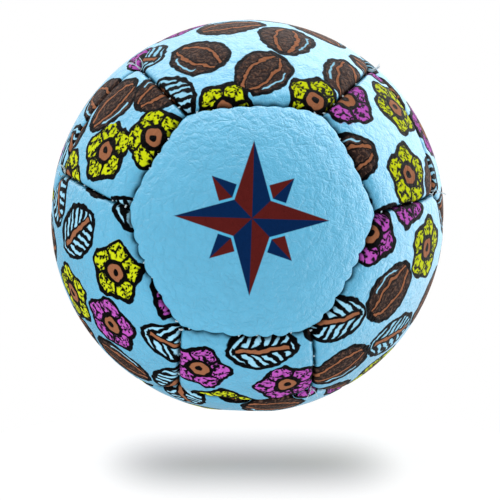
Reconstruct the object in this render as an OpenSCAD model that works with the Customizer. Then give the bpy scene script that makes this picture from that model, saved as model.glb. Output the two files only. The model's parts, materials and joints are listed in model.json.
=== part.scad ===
// Sewn practice lacrosse ball: fourteen leather panels round a bag of granules.
// The panels are the faces of a truncated octahedron, eight hexagons and six squares, blown up
// to a sphere, so each seam lies in a plane through the ball's centre. Millimetres, +Z up, the
// front hexagon facing -Y, and the origin in the middle of the flat that the ball rests on.

/* [Ball] */
// Diameter over the panels
ball_d = 64; // [58:0.5:76]
// Depth of the flat that the ball's weight presses into its underside
rest_flat_depth = 0.5; // [0.3:0.1:0.8]

/* [Leather] */
// Thickness of the synthetic leather
leather_t = 1.1; // [0.9:0.05:1.3]
// Outer radius of the fold where a panel turns down into its seam
fold_r = 1.4; // [1.3:0.1:1.9]
// Width of the seam allowances, from the ball's surface inwards
allowance_w = 3.6; // [3.3:0.1:5]
// Gap between the two allowances of a seam
seam_gap = 0.1; // [0.05:0.05:0.3]

/* [Stitching] */
// Depth of the stitch line below the ball's surface
stitch_depth = 2.2; // [2:0.1:2.4]
// Distance from one needle hole to the next
stitch_pitch = 2.8; // [2.5:0.1:4]
// Least distance from a seam's end to its first needle hole
seam_end_margin = 2; // [1.9:0.1:4]
// Diameter of the sewing thread
thread_d = 0.6; // [0.4:0.05:0.7]
// Gap between the thread and the leather, in the holes and along them
thread_clearance = 0.1; // [0.05:0.05:0.15]
// Swell of the thread on each side where it bends
bend_swell = 0.04; // [0.03:0.01:0.08]
// Diameter of a thread's knot
knot_d = 1.4; // [1.2:0.1:1.5]

/* [Inner bag] */
// Thickness of the bag's cloth
bag_t = 0.4; // [0.3:0.05:0.8]
// Gap between the bag and the leather, and between the bag and the knots
bag_clearance = 0.15; // [0.1:0.05:0.3]
// Diameter of the gathered neck
neck_d = 4.8; // [4:0.2:7]
// Height of the gathered neck
neck_h = 2.8; // [2.4:0.1:4]
// Depth that the tie pulls into the neck
neck_waist = 0.8; // [0.4:0.1:1]
// Gap between the top of the neck and the leather
neck_clearance = 0.5; // [0.3:0.1:1]
// Gap between the neck's tie and the wall of the hollow that it stands in
hollow_clearance = 2.5; // [1:0.1:4]
// Diameter of the cord that ties the neck
tie_d = 0.8; // [0.5:0.1:1]
// Gap between the tie and the neck
tie_clearance = 0.05; // [0.05:0.05:0.1]

/* [Filling] */
// Gap between the packed granules and the bag
fill_clearance = 0.1; // [0.05:0.05:0.3]

/* [Hidden] */
$fn = 48;
ball_r = ball_d / 2;
centre_z = ball_r - rest_flat_depth;
// A length that reaches past the ball from anywhere in it
far = 2 * ball_d;
half_gap = seam_gap / 2;
allowance_face = half_gap + leather_t;
// Rise of the fold's circle over the sphere, so that their surfaces cross at an angle
fold_rise = 0.03;
leather_colour = "#7cc4e8";
thread_colour = "#e6f1f7";

// The cell's three axes run out through the middles of squares. The front three of these lie
// one hexagon-to-square angle off the front hexagon's axis, a third of a turn from each other.
hexagon_to_square = acos(1 / sqrt(3));
function square_axis(turn) = [
    sin(hexagon_to_square) * cos(turn),
    -cos(hexagon_to_square),
    sin(hexagon_to_square) * sin(turn)
];
right_axis = square_axis(30);
left_axis = square_axis(150);
lower_axis = square_axis(270);

// Panels by name and by the signs or the axis of their middle, in the cell's axes
HEXAGONS = [
    ["front_hexagon_panel", [1, 1, 1]],
    ["top_hexagon_panel", [1, 1, -1]],
    ["left_hexagon_panel", [-1, 1, 1]],
    ["right_hexagon_panel", [1, -1, 1]],
    ["rear_left_hexagon_panel", [-1, 1, -1]],
    ["rear_right_hexagon_panel", [1, -1, -1]],
    ["back_hexagon_panel", [-1, -1, -1]]
];
BOTTOM_NAME = "bottom_hexagon_panel";
BOTTOM_SIGNS = [-1, -1, 1];
SQUARES = [
    ["front_right_square", [1, 0, 0]],
    ["front_left_square", [0, 1, 0]],
    ["front_lower_square", [0, 0, 1]],
    ["rear_left_square", [-1, 0, 0]],
    ["rear_right_square", [0, -1, 0]],
    ["rear_upper_square", [0, 0, -1]]
];
// Seams between two hexagons, by name and by the signs of both
HEXAGON_SEAMS = [
    ["front_to_top_thread", [1, 1, 1], [1, 1, -1]],
    ["front_to_left_thread", [1, 1, 1], [-1, 1, 1]],
    ["front_to_right_thread", [1, 1, 1], [1, -1, 1]],
    ["top_to_rear_left_thread", [1, 1, -1], [-1, 1, -1]],
    ["top_to_rear_right_thread", [1, 1, -1], [1, -1, -1]],
    ["left_to_rear_left_thread", [-1, 1, 1], [-1, 1, -1]],
    ["right_to_rear_right_thread", [1, -1, 1], [1, -1, -1]],
    ["left_to_bottom_thread", [-1, 1, 1], [-1, -1, 1]],
    ["right_to_bottom_thread", [1, -1, 1], [-1, -1, 1]],
    ["back_to_rear_left_thread", [-1, -1, -1], [-1, 1, -1]],
    ["back_to_rear_right_thread", [-1, -1, -1], [1, -1, -1]],
    ["back_to_bottom_thread", [-1, -1, -1], [-1, -1, 1]]
];

function unit(v) = v / norm(v);
function times(a, b) = [a[0] * b[0], a[1] * b[1], a[2] * b[2]];
function sum(list, i = 0) = i == len(list) - 1 ? list[i] : list[i] + sum(list, i + 1);

// Corners of a panel in turn, as directions from the ball's centre
HEXAGON = [[0, 1, 2], [1, 0, 2], [2, 0, 1], [2, 1, 0], [1, 2, 0], [0, 2, 1]];
function hexagon_corners(signs) = [for (p = HEXAGON) unit(times(signs, p))];
function square_corners(axis) =
    let (u = [axis[1], axis[2], axis[0]], v = cross(axis, u))
    [for (side = [u, v, -u, -v]) unit(2 * axis + side)];
// The two corners that two hexagons share
function shared_corners(signs, others) =
    [for (p = hexagon_corners(signs)) for (q = hexagon_corners(others)) if (norm(p - q) < 0.01) p];

// Frames: the cell's axes in the ball, and a seam's plane with Z towards the given side. X
// points away from the seam, so that the closing lines of round faces lie across the ball.
module framed(x, y, z) {
    multmatrix([
        [x[0], y[0], z[0], 0],
        [x[1], y[1], z[1], 0],
        [x[2], y[2], z[2], 0],
        [0, 0, 0, 1]
    ]) children();
}
module in_cell() {
    translate([0, 0, centre_z]) framed(right_axis, left_axis, lower_axis) children();
}
module in_seam(a, b, side) {
    across = unit(cross(a, b));
    z = across * side > 0 ? across : -across;
    x = -unit(a + b);
    framed(x, cross(z, x), z) children();
}

// Directions of the needle holes along a seam, spaced evenly about its middle. Their number
// is even, so that a thread comes out on the side that it went in.
stitch_r = ball_r - stitch_depth;
seam_angle = acos(4 / 5);
function arc_angle(length) = length / stitch_r * 180 / PI;
hole_pairs = floor((seam_angle - arc_angle(2 * seam_end_margin - stitch_pitch)) / arc_angle(2 * stitch_pitch));
holes = 2 * hole_pairs;
function hole_angle(k) = (k - (holes - 1) / 2) * arc_angle(stitch_pitch);
hole_d = thread_d + 2 * thread_clearance;

// One panel: a cap of the sphere with a round fold down each seam, hollow behind the leather
module fold_side() {
    rotate_extrude() {
        translate([0, half_gap]) square([ball_r - fold_r + fold_rise, far]);
        translate([0, half_gap + fold_r]) square([far, far]);
        translate([ball_r - fold_r + fold_rise, half_gap + fold_r]) circle(r = fold_r);
    }
}
// Part of a sphere between planes that lie beside the panel's seams, on the panel's side
module wedge(corners, r, inset) {
    middle = sum(corners);
    intersection() {
        in_seam(corners[0], corners[1], middle) sphere(r = r);
        intersection_for (i = [0 : len(corners) - 1])
            in_seam(corners[i], corners[(i + 1) % len(corners)], middle)
                translate([-far, -far, inset]) cube(2 * far);
    }
}
module panel(corners) {
    middle = sum(corners);
    difference() {
        intersection() {
            in_seam(corners[0], corners[1], middle) sphere(r = ball_r);
            intersection_for (i = [0 : len(corners) - 1])
                in_seam(corners[i], corners[(i + 1) % len(corners)], middle) fold_side();
        }
        wedge(corners, ball_r - leather_t, allowance_face);
        in_seam(corners[0], corners[1], middle) sphere(r = ball_r - allowance_w);
        for (i = [0 : len(corners) - 1])
            in_seam(corners[i], corners[(i + 1) % len(corners)], middle) needle_holes();
    }
}
module needle_holes() {
    for (k = [0 : holes - 1])
        rotate([0, 0, hole_angle(k)])
            translate([-stitch_r, 0, -leather_t / 2])
                cylinder(d = hole_d, h = 2 * leather_t + half_gap);
}
module hexagon_panel(signs) {
    color(leather_colour) in_cell() panel(hexagon_corners(signs));
}
module square_panel(axis) {
    color(leather_colour) in_cell() panel(square_corners(axis));
}
module bottom_panel() {
    color(leather_colour) difference() {
        hexagon_panel(BOTTOM_SIGNS);
        translate([-far / 2, -far / 2, -far]) cube(far);
    }
}

// Sewing thread: a running stitch that passes through both allowances at each needle hole
// and lies along their inner faces from hole to hole
bend_d = thread_d + 2 * bend_swell;
lane = allowance_face + bend_d / 2 + thread_clearance;
knot_lane = allowance_face + knot_d / 2 + thread_clearance;

// Straight lengths of thread that meet in a round bend at each inner point of the route
module thread_along(route) {
    last = len(route) - 1;
    for (i = [0 : last - 1]) {
        step = unit(route[i + 1] - route[i]);
        side = unit(cross(step, abs(step[2]) < 0.9 ? [0, 0, 1] : [1, 0, 0]));
        translate(route[i])
            framed(side, cross(step, side), step)
                cylinder(d = thread_d, h = norm(route[i + 1] - route[i]));
    }
    for (i = [1 : last - 1]) translate(route[i]) sphere(d = bend_d);
}
// Points of the running stitch from corner a to corner b, beginning and ending on the side
function stitches(a, b, side) =
    let (
        across = unit(cross(a, b)),
        out = across * side > 0 ? across : -across,
        middle = unit(a + b),
        along = unit(b - a)
    )
    [for (k = [0 : holes - 1]) for (end = [1, -1])
        stitch_r * (cos(hole_angle(k)) * middle + sin(hole_angle(k)) * along)
            + out * lane * end * (k % 2 == 0 ? 1 : -1)];
// Point by a corner of a panel that lies the given distance from both of its seams
function by_corner(before, corner, after, distance) =
    let (
        n = unit(cross(before, corner)),
        m = unit(cross(corner, after)),
        flat = (n + m) * distance / (1 + n * m)
    )
    flat + corner * sqrt(stitch_r * stitch_r - flat * flat);

module square_thread(axis) {
    c = square_corners(axis);
    turned = cross(c[0], c[1]) * axis > 0 ? c : [c[3], c[2], c[1], c[0]];
    corner_points = [for (i = [0 : 3]) by_corner(turned[(i + 3) % 4], turned[i], turned[(i + 1) % 4], lane)];
    route = concat(
        [for (i = [0 : 3]) each concat([corner_points[i]], stitches(turned[i], turned[(i + 1) % 4], axis))],
        [corner_points[0]]
    );
    color(thread_colour) in_cell() {
        thread_along(route);
        translate(by_corner(turned[3], turned[0], turned[1], knot_lane)) sphere(d = knot_d);
    }
}
module hexagon_seam_thread(signs, others) {
    c = shared_corners(signs, others);
    across = unit(cross(c[0], c[1]));
    out = across * signs > 0 ? across : -across;
    sewn = stitches(c[0], c[1], signs);
    along = unit(c[1] - c[0]) * knot_d * 0.7;
    ends = [sewn[0] - along, sewn[2 * holes - 1] + along];
    color(thread_colour) in_cell() {
        thread_along(concat([ends[0]], sewn, [ends[1]]));
        for (e = ends) translate(e + out * (knot_lane - lane)) sphere(d = knot_d);
    }
}

// The space behind the leather, moved inwards by an inset: a core inside the allowances, and
// a pad that fills each panel between its stitches
pad_edge = allowance_face + thread_clearance + knot_d + bag_clearance;
module filled_space(inset) {
    sphere(r = ball_r - allowance_w - bag_clearance - inset);
    for (h = HEXAGONS)
        wedge(hexagon_corners(h[1]), ball_r - leather_t - bag_clearance - inset, pad_edge + inset);
    wedge(hexagon_corners(BOTTOM_SIGNS), ball_r - leather_t - bag_clearance - inset, pad_edge + inset);
    for (s = SQUARES)
        wedge(square_corners(s[1]), ball_r - leather_t - bag_clearance - inset, pad_edge + inset);
}
// The neck stands in a hollow of the bag behind the back panel. Z runs out along its axis.
hollow_floor = ball_r - leather_t - neck_clearance - neck_h;
hollow_r = neck_d / 2 + tie_d + hollow_clearance;
tie_z = hollow_floor + neck_h / 2;
tie_ring_r = neck_d / 2 - neck_waist + tie_d / 2 + tie_clearance;
module at_neck() {
    translate([0, 0, centre_z]) rotate([-90, 0, 0]) children();
}
module neck_hollow(inset) {
    at_neck() translate([0, 0, hollow_floor - inset]) cylinder(r = hollow_r + inset, h = far);
}
module inner_bag() {
    color("#d9dde0") {
        difference() {
            in_cell() filled_space(0);
            neck_hollow(0);
            difference() {
                in_cell() filled_space(bag_t);
                neck_hollow(bag_t);
            }
        }
        at_neck() difference() {
            translate([0, 0, hollow_floor]) cylinder(d = neck_d, h = neck_h);
            translate([0, 0, tie_z]) rotate_extrude()
                translate([tie_ring_r, 0]) circle(r = tie_d / 2 + tie_clearance);
        }
    }
}
module bag_tie() {
    color("#f2f2ee") at_neck() translate([0, 0, tie_z]) rotate_extrude()
        translate([tie_ring_r, 0]) circle(d = tie_d);
}
module granule_filling() {
    color("#b99f7c") difference() {
        in_cell() filled_space(bag_t + fill_clearance);
        neck_hollow(bag_t + fill_clearance);
    }
}

for (h = HEXAGONS)
    hexagon_panel(h[1]);
bottom_panel();
for (s = SQUARES) {
    square_panel(s[1]);
    square_thread(s[1]);
}
for (h = HEXAGON_SEAMS)
    hexagon_seam_thread(h[1], h[2]);
inner_bag();
bag_tie();
granule_filling();
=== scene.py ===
"""A sewn practice ball: fourteen leather panels, their seams and stitches, round a bag of granules.

Metres, +Z up, the front hexagon facing -Y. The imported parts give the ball's size and place. Each
panel starts as an even net between its sewn corners, and a node tree folds, puckers and grains it.
"""

import json
import math
from functools import partialmethod

import bpy
import numpy as np
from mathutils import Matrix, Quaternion, Vector

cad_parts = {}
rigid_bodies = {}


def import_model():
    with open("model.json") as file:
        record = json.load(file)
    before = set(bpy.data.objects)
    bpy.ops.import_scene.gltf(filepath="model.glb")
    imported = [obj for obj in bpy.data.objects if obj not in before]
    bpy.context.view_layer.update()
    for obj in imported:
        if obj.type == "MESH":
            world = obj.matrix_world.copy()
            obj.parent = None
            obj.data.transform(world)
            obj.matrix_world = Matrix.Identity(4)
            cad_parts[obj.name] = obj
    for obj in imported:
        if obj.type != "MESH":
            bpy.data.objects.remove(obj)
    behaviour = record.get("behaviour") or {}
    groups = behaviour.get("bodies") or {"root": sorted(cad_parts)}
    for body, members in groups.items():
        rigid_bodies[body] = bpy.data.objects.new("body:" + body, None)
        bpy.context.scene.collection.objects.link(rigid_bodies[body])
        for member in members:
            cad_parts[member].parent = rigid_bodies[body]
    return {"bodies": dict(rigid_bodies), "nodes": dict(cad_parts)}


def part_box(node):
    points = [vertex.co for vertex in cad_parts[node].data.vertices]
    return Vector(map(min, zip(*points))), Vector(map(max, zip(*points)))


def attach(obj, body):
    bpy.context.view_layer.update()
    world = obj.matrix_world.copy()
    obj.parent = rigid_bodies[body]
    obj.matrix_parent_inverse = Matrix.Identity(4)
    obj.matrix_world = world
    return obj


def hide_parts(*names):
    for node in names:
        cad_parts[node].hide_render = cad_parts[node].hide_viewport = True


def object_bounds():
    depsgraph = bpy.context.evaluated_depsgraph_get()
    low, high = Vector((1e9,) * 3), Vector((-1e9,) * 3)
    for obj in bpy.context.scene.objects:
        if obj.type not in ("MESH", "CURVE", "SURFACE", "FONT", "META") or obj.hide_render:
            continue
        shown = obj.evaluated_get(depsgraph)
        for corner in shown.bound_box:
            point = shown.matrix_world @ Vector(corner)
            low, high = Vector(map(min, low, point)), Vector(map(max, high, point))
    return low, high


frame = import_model()
cad_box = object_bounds()

MM = 0.001
SEED = 11
BODY = next(iter(frame["bodies"]))

# The ball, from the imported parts
BALL_R = (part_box("back_hexagon_panel")[1].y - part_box("front_hexagon_panel")[0].y) / 2
REST_Z = cad_box[0].z
CENTRE = Vector((0, 0, cad_box[1].z - BALL_R))

# Leather and seams
LEATHER_T = 1.1 * MM
FOLD_R = 0.9 * MM
FRONT_FOLD_R = 0.8 * MM
INNER_FOLD_R = 0.5 * MM
HALF_GAP = 0.06 * MM
ALLOWANCE_DEPTH = 3.2 * MM
STITCH_PITCH = 2.8 * MM
FRONT_RISE = 0.15 * MM
TUCK_DEPTH = 0.55 * MM
TUCK_WIDTH = 1.5 * MM
# Chance in a seam: spread of its bow and of its wave, slip of its stitches, and range of their pull
SEAM_BOW, SEAM_WAVE = 0.22 * MM, 0.14 * MM
STITCH_SLIP = 0.15
STITCH_PULL = (0.5, 1.3)
# The front panel's scallops: the most on a seam, their height, its share on the calmer seams above
# the middle, its range by chance, how far in they lie, their roundness and their start at a corner
LOBES = 12
LOBE_HEIGHT = 0.65 * MM
LOBES_ABOVE = 0.5
LOBE_RANGE = (0.3, 1.0)
LOBE_INWARDS = 0.3
LOBE_ROUNDNESS = 0.7
LOBE_START = 0.4
# How uneven their pitch is, in stitches, and the waves of that along a seam
PITCH_STRAY, PITCH_WAVES = 0.16, 1.4
# Painted shade in the crease beside a seam: its reach, also on the panels tucked under the front,
# how dark it is, where it ends in reaches, how steeply it fades, and the share of it that the
# stitches keep off
CREASE_SHADE_REACH = 0.5 * MM
CREASE_SHADE_TUCK_REACH = 1.0 * MM
CREASE_SHADE_DARKNESS = 0.85
CREASE_SHADE_END = 1.4
CREASE_SHADE_FALL = 3
CREASE_SHADE_KEPT_OFF = 0.35

# Rows of the net from a panel's middle to its fold
HEXAGON_ROWS = 112
SQUARE_ROWS = 96


# Layout of the panels: the faces of a truncated octahedron, named and placed as the parts are


def unit(v):
    v = np.asarray(v, float)
    return v / np.linalg.norm(v, axis=-1, keepdims=True)


def between(a, b, share):
    """Directions on the great circle from a to b."""
    share = np.asarray(share, float)[..., None]
    angle = np.arccos(np.clip(np.sum(a * b, -1, keepdims=True), -1, 1))
    return (np.sin((1 - share) * angle) * a + np.sin(share * angle) * b) / np.sin(angle)


def square_axis(turn):
    """Direction of a front square's middle, by its turn round the front hexagon."""
    lean, turn = math.acos(1 / math.sqrt(3)), math.radians(turn)
    return [math.sin(lean) * math.cos(turn), -math.cos(lean), math.sin(lean) * math.sin(turn)]


CELL = np.column_stack([square_axis(30), square_axis(150), square_axis(270)])

# Corners round the front, as they are sewn by hand: right of the ball's middle and above it, in mm
SEWN_CORNERS = {
    (0, 1, 2): (-10.9, -18.2),
    (1, 0, 2): (10.3, -17.8),
    (2, 0, 1): (20.1, 1.0),
    (2, 1, 0): (10.9, 16.8),
    (1, 2, 0): (-11.0, 16.1),
    (0, 2, 1): (-19.9, 0.7),
    (0, 2, -1): (-18.9, 23.6),
    (2, 0, -1): (19.2, 24.6),
    (2, -1, 0): (29.9, 4.8),
    (0, -1, 2): (11.0, -27.8),
    (-1, 0, 2): (-10.6, -28.2),
    (-1, 2, 0): (-30.5, 6.0),
}
# Spread of the other corners about the even layout
CORNER_SPREAD = 0.2 * MM

HEXAGON = [(0, 1, 2), (1, 0, 2), (2, 0, 1), (2, 1, 0), (1, 2, 0), (0, 2, 1)]
HEXAGONS = {
    "front": (1, 1, 1),
    "top": (1, 1, -1),
    "left": (-1, 1, 1),
    "right": (1, -1, 1),
    "rear_left": (-1, 1, -1),
    "rear_right": (1, -1, -1),
    "back": (-1, -1, -1),
    "bottom": (-1, -1, 1),
}
SQUARES = {
    "front_right": (1, 0, 0),
    "front_left": (0, 1, 0),
    "front_lower": (0, 0, 1),
    "rear_left": (-1, 0, 0),
    "rear_right": (0, -1, 0),
    "rear_upper": (0, 0, -1),
}
FRONT = "front_hexagon_panel"


def hexagon_corners(signs):
    return [tuple(s * p for s, p in zip(signs, corner)) for corner in HEXAGON]


def square_corners(axis):
    axis = np.array(axis)
    side = np.roll(axis, 1)
    other = np.cross(axis, side)
    return [tuple(int(x) for x in 2 * axis + turn) for turn in (side, other, -side, -other)]


def corner_direction(key, chance):
    if key in SEWN_CORNERS:
        right, up = (x * MM for x in SEWN_CORNERS[key])
        return unit([right, -math.sqrt(BALL_R**2 - right**2 - up**2), up])
    return unit(unit(CELL @ key) + chance.normal(0, CORNER_SPREAD / BALL_R, 3))


def outward_order(keys):
    """Corners in turn, counter-clockwise from outside."""
    a, b, c = (CORNERS[k] for k in keys[:3])
    return keys if np.cross(b - a, c - b) @ a > 0 else keys[::-1]


def side_pairs(keys):
    """A panel's sides in turn, each as the sorted pair of its corners."""
    return [tuple(sorted(pair)) for pair in zip(keys, keys[1:] + keys[:1])]


PANEL_KEYS = {f"{place}_hexagon_panel": hexagon_corners(x) for place, x in HEXAGONS.items()}
PANEL_KEYS |= {f"{place}_square_panel": square_corners(x) for place, x in SQUARES.items()}
corner_chance = np.random.default_rng(SEED)
CORNERS = {
    key: corner_direction(key, corner_chance)
    for key in sorted({key for keys in PANEL_KEYS.values() for key in keys})
}
PANEL_KEYS = {name: outward_order(keys) for name, keys in PANEL_KEYS.items()}
MIDDLES = {name: unit(sum(CORNERS[k] for k in keys)) for name, keys in PANEL_KEYS.items()}


class Seam:
    """The sewn line that two panels share, which strays a little from the straight one."""

    def __init__(self, keys, number):
        self.keys = keys
        self.start, self.end = (CORNERS[k] for k in keys)
        self.across = unit(np.cross(self.start, self.end))
        self.angle = math.acos(self.start @ self.end)
        chance = np.random.default_rng(SEED * 100 + number)
        self.bow, self.wave = chance.normal(0, 1, 2) * (SEAM_BOW, SEAM_WAVE)
        self.pull = chance.uniform(*STITCH_PULL)
        self.slip = chance.uniform(-STITCH_SLIP, STITCH_SLIP)
        above = self.start[2] + self.end[2] > 0
        self.lobes = chance.uniform(*LOBE_RANGE, LOBES) * (LOBES_ABOVE if above else 1.0)
        self.on_front = all(k in PANEL_KEYS[FRONT] for k in keys)

    def side(self, panel):
        """1 if `across` points into that panel, else -1."""
        return np.sign(self.across @ MIDDLES[panel])

    def phase(self, share):
        """Place along the seam in stitches: a needle hole lies at each half."""
        return (np.asarray(share) - 0.5) * self.angle * BALL_R / STITCH_PITCH + self.slip

    def sway(self, share):
        """How far the line strays towards `across`."""
        share = np.clip(share, 0, 1)
        stray = self.bow * np.sin(math.pi * share) + self.wave * np.sin(2 * math.pi * share)
        if self.on_front:
            uneven = np.sin(2 * math.pi * (share * PITCH_WAVES + self.pull))
            phase = self.phase(share) + PITCH_STRAY * uneven
            height = self.lobes[np.round(phase).astype(int) + LOBES // 2]
            lobes = np.abs(np.cos(math.pi * phase)) ** LOBE_ROUNDNESS * height - LOBE_INWARDS
            fade = np.sin(math.pi * share) ** LOBE_START
            stray = stray - self.side(FRONT) * LOBE_HEIGHT * lobes * fade
        return stray

    def place(self, share):
        """Directions on the sewn line."""
        straight = between(self.start, self.end, share)
        return unit(straight + np.asarray(self.sway(share))[..., None] / BALL_R * self.across)

    def read(self, directions, panel):
        """Share along the seam, and distance from it into the panel, of directions."""
        flat = directions - (directions @ self.across)[:, None] * self.across
        lead = np.arctan2(flat @ np.cross(self.across, self.start), flat @ self.start)
        share = np.clip(lead / self.angle, 0, 1)
        stray = BALL_R * np.arcsin(np.clip(directions @ self.across, -1, 1)) - self.sway(share)
        return share, self.side(panel) * stray


PAIRS = dict.fromkeys(pair for keys in PANEL_KEYS.values() for pair in side_pairs(keys))
SEAMS = {pair: Seam(pair, number) for number, pair in enumerate(PAIRS)}


# Small helpers for node trees


def feed(tree, value, socket):
    """Links a socket or a Number to an input, or sets the input's own value."""
    value = getattr(value, "socket", value)
    if isinstance(value, bpy.types.NodeSocket):
        tree.links.new(value, socket)
    else:
        socket.default_value = value


def feed_all(tree, inputs, node):
    for name, value in inputs.items():
        feed(tree, value, node.inputs[name])


def add(tree, kind, inputs=None, **settings):
    """A node with its settings, and with its inputs by name or number."""
    node = tree.nodes.new(kind)
    for name, value in settings.items():
        setattr(node, name, value)
    feed_all(tree, inputs or {}, node)
    return node


def made(tree, kind, inputs=None, out=0, **settings):
    """One output of such a node, by name or number."""
    return add(tree, kind, inputs, **settings).outputs[out]


class Number:
    """A number in a node tree, on which plain arithmetic makes Math nodes."""

    def __init__(self, tree, socket):
        self.tree, self.socket = tree, socket

    def math(self, operation, *others, clamp=False):
        settings = {"operation": operation, "use_clamp": clamp}
        inputs = dict(enumerate((self, *others)))
        return Number(self.tree, made(self.tree, "ShaderNodeMath", inputs, **settings))

    __add__ = __radd__ = partialmethod(math, "ADD")
    __mul__ = __rmul__ = partialmethod(math, "MULTIPLY")
    __sub__ = partialmethod(math, "SUBTRACT")
    __truediv__ = partialmethod(math, "DIVIDE")
    power = partialmethod(math, "POWER")
    size = partialmethod(math, "ABSOLUTE")
    least = partialmethod(math, "MINIMUM")
    most = partialmethod(math, "MAXIMUM")
    sine = partialmethod(math, "SINE")
    cosine = partialmethod(math, "COSINE")

    def __neg__(self):
        return self * -1

    def __rsub__(self, other):
        return self * -1 + other

    def fading(self, width):
        """1 at zero and falling away over the width."""
        return (self / width * -1).math("EXPONENT")


def split(tree, place):
    return [Number(tree, out) for out in add(tree, "ShaderNodeSeparateXYZ", {0: place}).outputs]


def joined(tree, x, y, z=0.0):
    return made(tree, "ShaderNodeCombineXYZ", {0: x, 1: y, 2: z})


def vector(tree, operation, a, b=None):
    """Vector arithmetic. SCALE takes b as its number, and NORMALIZE goes without."""
    second = {} if b is None else {"Scale" if operation == "SCALE" else 1: b}
    return made(tree, "ShaderNodeVectorMath", {0: a} | second, operation=operation)


def shade(red, green, blue):
    """A colour, written in the 0 to 255 steps of a screen."""
    steps = [x / 255 for x in (red, green, blue)]
    return (*[x / 12.92 if x < 0.04 else ((x + 0.055) / 1.055) ** 2.4 for x in steps], 1.0)


# Meshes and node-made pieces


def mesh_of(name, points, faces):
    """A smooth mesh of points and triangles."""
    mesh = bpy.data.meshes.new(name)
    mesh.vertices.add(len(points))
    mesh.vertices.foreach_set("co", np.asarray(points, np.float32).ravel())
    mesh.loops.add(faces.size)
    mesh.loops.foreach_set("vertex_index", faces.astype(np.int32).ravel())
    mesh.polygons.add(len(faces))
    mesh.polygons.foreach_set("loop_start", np.arange(0, faces.size, 3, dtype=np.int32))
    mesh.update(calc_edges=True)
    mesh.polygons.foreach_set("use_smooth", np.ones(len(faces), bool))
    return mesh


def ring_faces(first, steps, count):
    """Triangles between closed rings of as many points, from a first point on."""
    following = np.roll(np.arange(count), -1)
    faces = []
    for a in range(first, first + steps * count, count):
        a, b = a + np.arange(count), a + following
        faces += [np.column_stack([a, a + count, b + count]), np.column_stack([a, b + count, b])]
    return faces


def hub_faces(hub, first, count, backwards=False):
    """Triangles between a middle point and the closed ring round it."""
    here = np.arange(count)
    ring = [first + here, first + (here + 1) % count]
    return np.column_stack([hub + 0 * here, *(ring[::-1] if backwards else ring)])


def new_object(name, data):
    item = bpy.data.objects.new(name, data)
    bpy.context.scene.collection.objects.link(item)
    return item


def note(mesh, **kept):
    """Keeps a number or a vector of each point under its name."""
    for name, values in kept.items():
        values = np.asarray(values, np.float32)
        kind, field = ("FLOAT", "value") if values.ndim == 1 else ("FLOAT_VECTOR", "vector")
        mesh.attributes.new(name, kind, "POINT").data.foreach_set(field, values.ravel())


def noted(tree, name, kind="FLOAT"):
    """What each point keeps under that name."""
    out = made(tree, "GeometryNodeInputNamedAttribute", {"Name": name}, data_type=kind)
    return Number(tree, out)


def node_tree(name, sizes):
    """A Geometry Nodes tree with an input for each size and a material, and these inputs."""
    tree = bpy.data.node_groups.new(name, "GeometryNodeTree")
    kinds = {float: "Float", int: "Int", Vector: "Vector"}
    inputs = {label: kinds[type(value)] for label, value in sizes.items()}
    for way in ("OUTPUT", "INPUT"):
        tree.interface.new_socket("Geometry", in_out=way, socket_type="NodeSocketGeometry")
    for label, kind in (inputs | {"Material": "Material"}).items():
        tree.interface.new_socket(label, in_out="INPUT", socket_type="NodeSocket" + kind)
    return tree, tree.nodes.new("NodeGroupInput").outputs


def from_centre(tree, size):
    """Where each point lies from the ball's centre, and the way out to it."""
    arm = vector(tree, "SUBTRACT", made(tree, "GeometryNodeInputPosition"), size["Ball centre"])
    return arm, vector(tree, "NORMALIZE", arm)


def moved(tree, geometry, way, distance=1.0):
    """The geometry with each point moved a distance along a way."""
    inputs = {"Geometry": geometry, "Offset": vector(tree, "SCALE", way, distance)}
    return made(tree, "GeometryNodeSetPosition", inputs)


def set_on(tree, points, form, turn, share):
    """A form on every point, turned and sized."""
    inputs = {"Points": points, "Instance": form, "Rotation": turn, "Scale": share}
    return made(tree, "GeometryNodeInstanceOnPoints", inputs)


def close_tree(tree, size, geometry):
    """Ends the tree in Realize Instances and Set Material."""
    geometry = made(tree, "GeometryNodeRealizeInstances", {0: geometry})
    inputs = {"Geometry": geometry, "Material": size["Material"]}
    dressed = made(tree, "GeometryNodeSetMaterial", inputs)
    feed(tree, dressed, tree.nodes.new("NodeGroupOutput").inputs[0])
    return tree


def grown(name, start, tree, sizes, material):
    """The plain mesh that a tree makes of a starting mesh, as an object."""
    seedling = new_object(name, start)
    modifier = seedling.modifiers.new("shape", "NODES")
    modifier.node_group = tree
    inputs = sizes | {"Material": material}
    for socket in tree.interface.items_tree:
        if socket.in_out == "INPUT" and socket.name in inputs:
            modifier[socket.identifier] = inputs[socket.name]
    depsgraph = bpy.context.evaluated_depsgraph_get()
    result = bpy.data.meshes.new_from_object(
        seedling.evaluated_get(depsgraph), preserve_all_data_layers=True, depsgraph=depsgraph
    )
    seedling.modifiers.clear()
    seedling.data = result
    result.name = name
    return seedling


# Camera, lights and floor

# The ball's disc in the photograph's 500 pixel frame
PHOTO_SIZE = 500
DISC_X, DISC_Y, DISC_R = 247.4, 216.3, 196.4
# The camera stands 25 ball radii away, a little to the left, and is turned a little
CAMERA_RADII = 25
CAMERA_LEFT = math.radians(1.5)
CAMERA_ROLL = math.radians(1.83)
SENSOR = 36.0


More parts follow.
